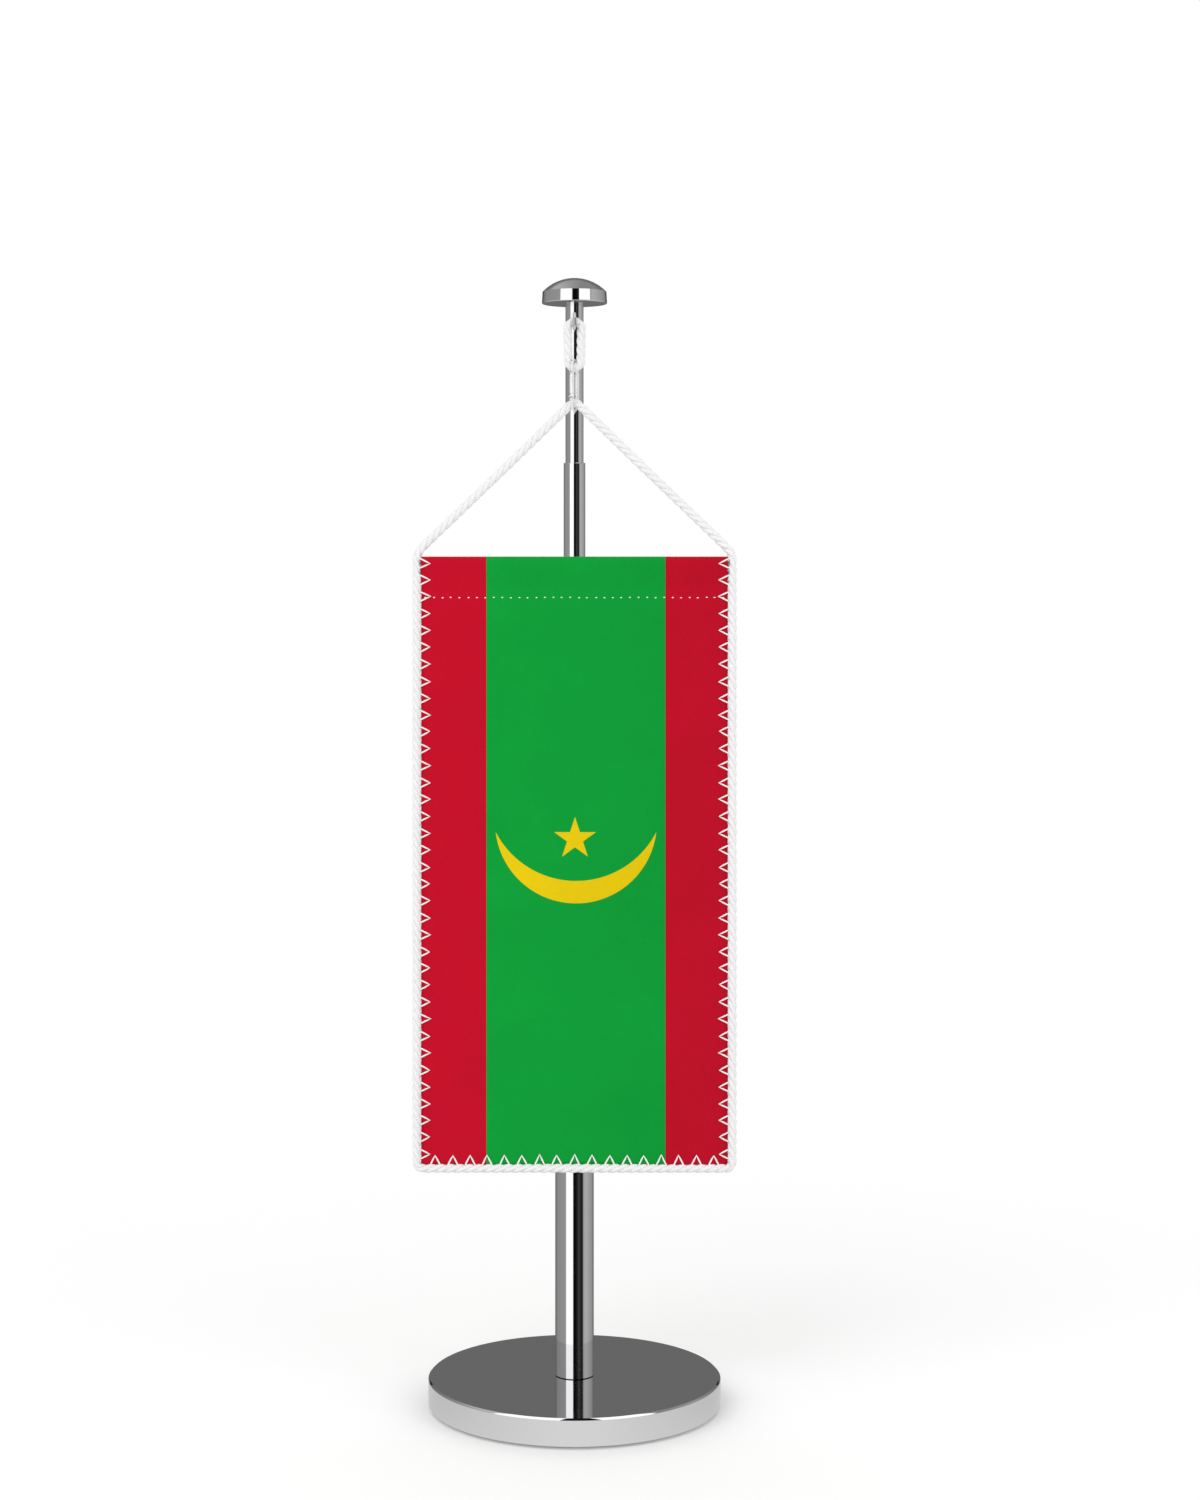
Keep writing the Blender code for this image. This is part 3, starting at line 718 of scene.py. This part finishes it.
def make_zigzags(finish):
    """The thread that sews the cord to the cloth's sides and foot, on its front and its back."""
    right, up = Vector((1, 0, 0)), Vector((0, 0, 1))
    side_top = CLOTH_TOP - FIRST_TIP + PITCH / 2
    side_foot = BORDER_Z + CORD_R + CORNER_GAP
    side_length = side_top - side_foot
    side_count = round(side_length / PITCH)
    foot_length = CLOTH_W - FOOT_SHORT
    foot_count = round(foot_length / PITCH)
    made = []
    for face, word in FACES:
        routes = []
        for side in (-1, 1):
            start = Vector((side * BORDER_X, PLANE_Y, side_foot))
            inward = -side * right
            routes.append(zigzag(start, up, inward, side_count, side_length / side_count, face))
        start = Vector((-foot_length / 2, PLANE_Y, BORDER_Z))
        routes.append(zigzag(start, right, up, foot_count, foot_length / foot_count, face))
        made.append(thread_curve("edge_zigzag_" + word, routes, THREAD_R, finish))
    return made


def make_hem_stitches(finish):
    """Short stitches in a row through both layers of the hem."""
    rng = random.Random(HEM_SEED)
    length = CLOTH_W - 2 * HEM_MARGIN
    count = round(length / HEM_STITCH_SPACING)
    half = HEM_STITCH_HALF
    made = []
    for face, word in FACES:
        routes = []
        for i in range(count + 1):
            x = -length / 2 + length * i / count + rng.uniform(-0.2, 0.2) * MM
            z = STITCH_Z + rng.uniform(-0.1, 0.1) * MM
            outer = face_y(x, z, face) - face * HEM_STITCH_PROUD
            inner = outer + face * HEM_STITCH_SUNK
            route = [(-half, inner), (-half / 2, outer), (half / 2, outer), (half, inner)]
            routes.append([(x + across, y, z) for across, y in route])
        made.append(thread_curve("hem_stitches_" + word, routes, HEM_STITCH_R, finish))
    return made


# ---------------------------------------------------------------- chrome pieces

BASE_SIDES = 256
TUBE_SIDES = 96
BASE_BEVEL = 0.75 * MM
BASE_FOOT_BEVEL = 0.4 * MM
SCREW_HOLE_R = 3.2 * MM
COUNTERBORE_R = 7.0 * MM
COUNTERBORE_TOP = 6.4 * MM
# (name, CAD node, body, wall, radius of the upper rim)
TUBES = (
    ("lower_pole", "lower_tube", "stand", 1.0 * MM, 0.3 * MM),
    ("middle_pole_tube", "middle_tube", "middle_pole", 0.5 * MM, 0.3 * MM),
    ("top_pole_tube", "top_tube", "top_pole", 0.5 * MM, 0.1 * MM),
)
SHOULDER_RISE = 4.9 * MM  # from the knob's foot up to its dome
SHOULDER_IN = 0.24 * MM  # the knob's side leans in by this much
KNOB_EDGE = 0.30 * MM
KNOB_HOLLOW = 0.8 * MM
SEAT_R = 3.9 * MM
SOCKET_R = 2.15 * MM
SOCKET_DEPTH = 4.0 * MM
DOME_STEPS = 28
HOOK_RUN = (-0.6 * MM, -4.0 * MM, -8.0 * MM)  # from inside the pole out to the bend
HOOK_BEND_R = 1.6 * MM
HOOK_SIDES = 24


def make_base(chrome):
    """The base's disc, with a slightly crowned chamfer round its top."""
    low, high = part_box("base_disc")
    radius = high.x
    crown = (radius - 0.48 * BASE_BEVEL, high.z - 0.46 * BASE_BEVEL)
    profile = [
        (SCREW_HOLE_R, COUNTERBORE_TOP),
        (COUNTERBORE_R, COUNTERBORE_TOP),
        (COUNTERBORE_R, low.z),
        (radius - BASE_FOOT_BEVEL, low.z),
        (radius, low.z + BASE_FOOT_BEVEL),
        (radius, high.z - BASE_BEVEL),
        crown,
        (radius - BASE_BEVEL, high.z),
        (SCREW_HOLE_R, high.z),
    ]
    disc = lathe("base_plate", profile, BASE_SIDES)
    add(disc, "stand", chrome)
    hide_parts("base_disc")


def make_tube(name, node, body, chrome, wall, edge):
    """A tube with a rounded upper rim in place of the CAD model's."""
    low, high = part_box(node)
    radius = high.x
    rim = arc((radius - edge, high.z - edge), edge, 90, 0, 6)
    profile = [(radius - wall, low.z), (radius, low.z), *rim, (radius - wall, high.z)]
    tube = lathe(name, profile, TUBE_SIDES)
    add(tube, body, chrome)
    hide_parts(node)


def make_knob(chrome):
    """The mushroom knob: a hollow for the pole, a short side that leans in, and a low dome."""
    low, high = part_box("finial_knob")
    radius = high.x
    shoulder_r = radius - SHOULDER_IN
    shoulder_z = low.z + SHOULDER_RISE
    rise = high.z - shoulder_z
    dome_r = (shoulder_r**2 + rise**2) / (2 * rise)
    reach = math.asin(shoulder_r / dome_r)
    seat = low.z + KNOB_HOLLOW
    profile = [
        (0, seat + SOCKET_DEPTH),
        (SOCKET_R, seat + SOCKET_DEPTH),
        (SOCKET_R, seat),
        (SEAT_R, seat),
        *arc((radius - KNOB_EDGE, low.z + KNOB_EDGE), KNOB_EDGE, 180, 90, 7),
        (shoulder_r, shoulder_z),
    ]
    for i in range(DOME_STEPS):
        a = reach * (1 - (i + 0.1) / DOME_STEPS)
        profile.append((dome_r * math.sin(a), high.z - dome_r * (1 - math.cos(a))))
    profile.append((0, high.z))
    knob = lathe("mushroom_knob", profile)
    add(knob, "top_pole", chrome)
    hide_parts("finial_knob")


def make_hook(chrome):
    """The wire hook: straight out of the pole, round a bend and up to a rounded tip."""
    low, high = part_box("hanging_hook")
    wire = high.x
    tip_y = low.y + wire
    run = [(y, HOOK_Z) for y in HOOK_RUN]
    bend = arc((tip_y + HOOK_BEND_R, HOOK_Z + HOOK_BEND_R), HOOK_BEND_R, 180, 270, 13)
    stations = [((0, y, z), wire) for y, z in run + bend]
    stations += [((0, tip_y, z), radius) for radius, z in arc((0, high.z - wire), wire, 90, 6, 8)]
    hook = bar("wire_hook", stations, HOOK_SIDES, Vector((1, 0, 0)))
    add(hook, "top_pole", chrome)
    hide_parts("hanging_hook")


# ---------------------------------------------------------------- snap link

LINK_TURN = math.radians(-19.5)
LINK_HALF = 3.15 * MM  # from the link's middle to each of its sides
LINK_TOP_Z = LOOP_FOOT_Z - LOOP_FOOT_R
LINK_SIDES = 24
WIRE_R = 0.45 * MM
SPINE_R = 0.85 * MM
KNUCKLE_R = 1.0 * MM
LATCH_Z = 426.6 * MM  # where the latch starts, above the gate
UPPER_RIVET_Z = LATCH_Z + 0.65 * MM
FORK_Z = 417.9 * MM  # where the fork ends, below the gate
LOWER_RIVET_Z = FORK_Z - 1.2 * MM
# (rise from LATCH_Z or FORK_Z in mm, share of the knuckle's radius)
LATCH = ((0.0, 0.75), (0.1, 0.9), (0.3, 1.0), (0.9, 1.0), (1.2, 0.85), (1.45, 0.5))
FORK = ((-2.7, 0.5), (-2.4, 0.85), (-2.1, 1.0), (-0.3, 1.0), (-0.1, 0.9), (0.0, 0.75))
GATE_FOOT = ((0.25, 0.55), (0.45, 0.8), (0.85, 1.0), (1.25, 0.96))
GATE_HEAD = ((-1.2, 0.96), (-0.8, 1.0), (-0.35, 0.85), (-0.2, 0.6))
# (radius, rise from the knuckle) in mm, in to the punched centre
RIVET = ((0.50, -0.15), (0.50, 0.10), (0.42, 0.18), (0.26, 0.18), (0.20, 0.12), (0.0, 0.02))


def link_space(y, z):
    """A point of the link, given across and up in the link's own plane, set at the link's turn."""
    return Vector((-y * math.sin(LINK_TURN), PLANE_Y + y * math.cos(LINK_TURN), z))


def knuckle(start, shape):
    """Stations of a thick stretch on the link's front side, whose shape is measured from start."""
    return [
        (link_space(-LINK_HALF, start + rise * MM), KNUCKLE_R * share) for rise, share in shape
    ]


def make_link(finish, steel):
    """The snap link: a wire frame with a knuckle at each end of its opening, a gate and rivets."""
    over = arc((0, LINK_TOP_Z), LINK_HALF, -90, 90, 33)
    under = arc((0, APEX_Z), LINK_HALF, 90, 270, 33)
    spine = [(LINK_HALF, APEX_Z + (LINK_TOP_Z - APEX_Z) * i / 6) for i in range(5, 0, -1)]
    stations = knuckle(LATCH_Z, LATCH)
    for route, radius in ((over, WIRE_R), (spine, SPINE_R), (under, WIRE_R)):
        stations += [(link_space(y, z), radius) for y, z in route]
    stations += knuckle(FORK_Z, FORK)
    normal = Vector((math.cos(LINK_TURN), math.sin(LINK_TURN), 0))
    body = bar("snap_link_frame", stations, LINK_SIDES, normal)
    add(body, "link", finish)
    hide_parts("link_frame")

    stations = knuckle(FORK_Z, GATE_FOOT) + knuckle(LATCH_Z, GATE_HEAD)
    gate = bar("snap_link_gate", stations, LINK_SIDES, normal)
    add(gate, "gate", finish)
    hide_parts("link_gate")
    make_rivet("link_rivet_upper", UPPER_RIVET_Z, steel)
    make_rivet("link_rivet_lower", LOWER_RIVET_Z, steel)


def make_rivet(name, z, finish):
    """A flat rivet head with a punched centre, on the front of one of the link's knuckles."""
    front = -LINK_HALF - KNUCKLE_R
    centre = link_space(front, z)
    outward = (link_space(front - MM, z) - centre).normalized()
    up = Vector((0, 0, 1))
    across = outward.cross(up)
    sides = LINK_SIDES
    points, faces = [], []
    for radius, rise in RIVET[:-1]:
        for i in range(sides):
            a = FULL_TURN * i / sides
            turned = math.cos(a) * across + math.sin(a) * up
            points.append(centre + radius * MM * turned + rise * MM * outward)
    points.append(centre + RIVET[-1][1] * MM * outward)
    last = (len(RIVET) - 2) * sides
    for low in range(0, last, sides):
        for i in range(sides):
            j = (i + 1) % sides
            faces.append([low + i, low + j, low + sides + j, low + sides + i])
    faces += [[last + i, last + (i + 1) % sides, len(points) - 1] for i in range(sides)]
    faces.append(list(range(sides)))
    add(mesh_of(name, points, faces), "link", finish)


# ---------------------------------------------------------------- studio

# The walls that polished surfaces see: (degrees round from the front towards +X, light)
STRIPS = (
    (-180, 0.155), (-150, 0.155), (-140, 0.20), (-120, 0.30), (-62, 0.34), (-53, 0.34),
    (-50, 1.25), (-10, 1.25), (-7, 0.004), (6, 0.004), (18, 0.02), (27, 0.06), (36, 0.02),
    (50, 0.02), (56, 0.40), (70, 0.50), (95, 0.42), (125, 0.33), (145, 0.2), (155, 0.155),
    (180, 0.155),
)
WINDOW_LIGHT = 1.25
SOFTBOX_LIGHT = 1.3
FLOOR_LIGHT = 0.70
MIRROR_REACH = 0.055  # chrome sees the floor no further off than this
FLOOR_R = 6.0
FLOOR_SIDES = 96
FADE_START = 0.12  # from here out the floor turns into the white background
FADE_END = 0.5


def make_strips(tree, azimuth):
    """The light of the walls, by the angle round from the front."""
    strips = tree.node("ShaderNodeValToRGB")
    tree.feed(strips.inputs[0], tree.ramp(azimuth, -180.0, 180.0))
    points = strips.color_ramp.elements
    points[0].position, points[1].position = 0.0, 1.0
    for angle, level in STRIPS[1:-1]:
        points.new((angle + 180) / 360).color = grey(level)
    points[0].color = grey(STRIPS[0][1])
    points[len(points) - 1].color = grey(STRIPS[-1][1])
    return strips.outputs[0]


def make_walls(tree):
    """What polished surfaces see, by degrees round from the front and degrees up from level."""
    x, y, z = tree.axes(tree.node("ShaderNodeTexCoord").outputs["Generated"])
    front = tree.math("MULTIPLY", y, -1.0)
    azimuth = tree.math("DEGREES", tree.math("ARCTAN2", x, front))
    elevation = tree.math("DEGREES", tree.math("ARCSINE", z))
    off_front = tree.math("ABSOLUTE", azimuth)

    # The dark strips end above the height at which the front of the base and the pole see them
    lift = tree.ramp(elevation, 17.8, 20.0, 0.0, 0.3)
    above = tree.math("MULTIPLY", tree.math("LESS_THAN", off_front, 110.0), lift)
    walls = tree.math("MAXIMUM", make_strips(tree, azimuth), above)

    # A second white window, for the knob's side, and a dark strip low down behind
    window = tree.math(
        "MULTIPLY", tree.band(azimuth, 16.0, 58.0, 1.0), tree.band(elevation, 8.0, 14.6, 0.4)
    )
    walls = tree.mix(window, walls, grey(WINDOW_LIGHT))
    behind = tree.math("GREATER_THAN", off_front, 150.0)
    low_back = tree.math("MULTIPLY", behind, tree.band(elevation, 6.0, 14.6, 0.5))
    walls = tree.mix(low_back, walls, grey(0.02))

    # Overhead, a ceiling that darkens to the right, with a softbox that a dark gap parts
    ceiling = tree.mix(tree.ramp(x, -0.45, 0.15), grey(0.52), grey(0.27))
    walls = tree.mix(tree.ramp(elevation, 34.0, 48.0), walls, ceiling)
    ahead = tree.math(
        "MULTIPLY", tree.band(azimuth, -92.0, 92.0, 3.0), tree.band(elevation, 50.0, 88.0, 1.0)
    )
    walls = tree.mix(ahead, walls, grey(SOFTBOX_LIGHT))
    gap = tree.math("MULTIPLY", ahead, tree.band(azimuth, -20.0, 36.0, 2.0))
    walls = tree.mix(gap, walls, grey(0.01))
    return tree.mix(tree.ramp(elevation, -18.0, -34.0), walls, grey(FLOOR_LIGHT))


def make_world():
    """White light on matt surfaces. Polished ones see grey walls with pale and dark strips."""
    world = bpy.data.worlds.new("studio")
    bpy.context.scene.world = world
    world.use_nodes = True
    tree = Tree(world.node_tree)
    glossy = tree.node("ShaderNodeLightPath").outputs["Is Glossy Ray"]
    background = world.node_tree.nodes["Background"]
    tree.feed(background.inputs["Color"], tree.mix(glossy, grey(1), make_walls(tree)))
    # A light sample can't tell a polished surface from a matt one, so only the rays find the world
    world.cycles.sampling_method = "NONE"


def make_light(name, spot, aim, size, power):
    """A square soft light, which mirrors don't show."""
    lamp = bpy.data.lights.new(name, "AREA")
    lamp.size = size
    lamp.energy = power
    obj = bpy.data.objects.new(name, lamp)
    obj.location = spot
    obj.rotation_euler = (Vector(aim) - Vector(spot)).to_track_quat("-Z", "Y").to_euler()
    obj.visible_glossy = False
    bpy.context.scene.collection.objects.link(obj)


def mix_shaders(tree, share, first, second):
    """The first shader where share is 0, and the second where it is 1."""
    made = tree.node("ShaderNodeMixShader")
    for socket, value in zip(made.inputs, (share, first, second)):
        tree.feed(socket, value)
    return made.outputs[0]


def floor_finish():
    """A pale floor that turns into the white background, with a short mirror image in chrome."""
    made, tree, shader = principled("pale_floor", Roughness=0.9)
    shader.inputs["Specular IOR Level"].default_value = 0.0
    spot = tree.place()
    tree.feed(shader.inputs["Base Color"], tree.mix(tree.noise(spot, 8.0), grey(0.88), grey(0.90)))
    distance = tree.node("ShaderNodeVectorMath", operation="LENGTH")
    tree.feed(distance.inputs[0], spot)
    fade = tree.ramp(distance.outputs["Value"], FADE_START, FADE_END)
    white = tree.node("ShaderNodeEmission").outputs[0]
    seen = mix_shaders(tree, fade, shader.outputs[0], white)

    # What chrome sees of it: pale close by, brightest in front, and nothing further off
    x, y, _ = tree.axes(spot)
    front = tree.math("MULTIPLY", y, -1.0)
    sideways = tree.math("ABSOLUTE", tree.math("ARCTAN2", x, front))
    pale = tree.node("ShaderNodeEmission")
    shade = tree.ramp(sideways, 0.1, 1.5, 0.80, 0.62)
    tree.feed(pale.inputs["Color"], tree.mix(shade, grey(0), grey(1)))
    clear = tree.node("ShaderNodeBsdfTransparent").outputs[0]
    rays = tree.node("ShaderNodeLightPath").outputs
    near = tree.math("LESS_THAN", rays["Ray Length"], MIRROR_REACH)
    mirrored = mix_shaders(tree, near, clear, pale.outputs[0])
    both = mix_shaders(tree, rays["Is Glossy Ray"], seen, mirrored)
    tree.feed(made.node_tree.nodes["Material Output"].inputs["Surface"], both)
    return made


def make_stage():
    """The floor, as a flat disc, and two soft lights in front."""
    turns = (FULL_TURN * i / FLOOR_SIDES for i in range(FLOOR_SIDES))
    points = [(FLOOR_R * math.cos(a), FLOOR_R * math.sin(a), 0.0) for a in turns]
    floor = mesh_of("pale_floor", points, [list(range(FLOOR_SIDES))])
    floor.data.materials.append(floor_finish())
    bpy.context.scene.collection.objects.link(floor)
    make_light("key", (-0.9, -1.3, 1.5), (0, 0, 0.25), 1.2, 9.0)
    make_light("fill", (1.2, -1.0, 0.8), (0, 0, 0.2), 1.0, 3.0)


# ---------------------------------------------------------------- everything


def finish_frame_nodes(finishes):
    """Gives each CAD node that stays in view its detailed material, by its record slot."""
    slots = {part["node"]: part["material_slot"] for part in frame["record"]["subparts"]}
    for node, obj in frame["nodes"].items():
        for place in obj.material_slots:
            place.material = finishes[slots[node]]


def make_finishes():
    """The material for each of the record's slots."""
    return {
        "polished_chrome": chrome_finish(),
        "zinc_steel": steel_finish(),
        "bright_plate": link_finish(),
        "felt": felt_finish(),
        "nylon": moulded_finish("natural_nylon", (0.75, 0.74, 0.70, 1), 0.45),
        "rubber": moulded_finish("black_rubber", grey(0.03), 0.75),
        "white_cord": cord_finish(),
        "pennant_cloth": cloth_finish(),
        "rod_plastic": moulded_finish("white_rod", (0.84, 0.84, 0.82, 1), 0.35),
    }


def make_pennant(cloth, thread):
    """The cloth and the thread that is sewn in it."""
    fabric = make_cloth(cloth)
    stitching = make_zigzags(thread) + make_hem_stitches(thread)


def main():
    make_camera()
    finishes = make_finishes()
    chrome = finishes["polished_chrome"]
    finish_frame_nodes(finishes)
    make_cords(finishes["white_cord"])
    make_pennant(finishes["pennant_cloth"], thread_finish())
    make_base(chrome)
    for name, node, body, wall, edge in TUBES:
        make_tube(name, node, body, chrome, wall, edge)
    make_knob(chrome)
    make_hook(chrome)
    make_link(finishes["bright_plate"], finishes["zinc_steel"])
    make_world()
    make_stage()
    bpy.context.scene.view_settings.view_transform = "Standard"


main()
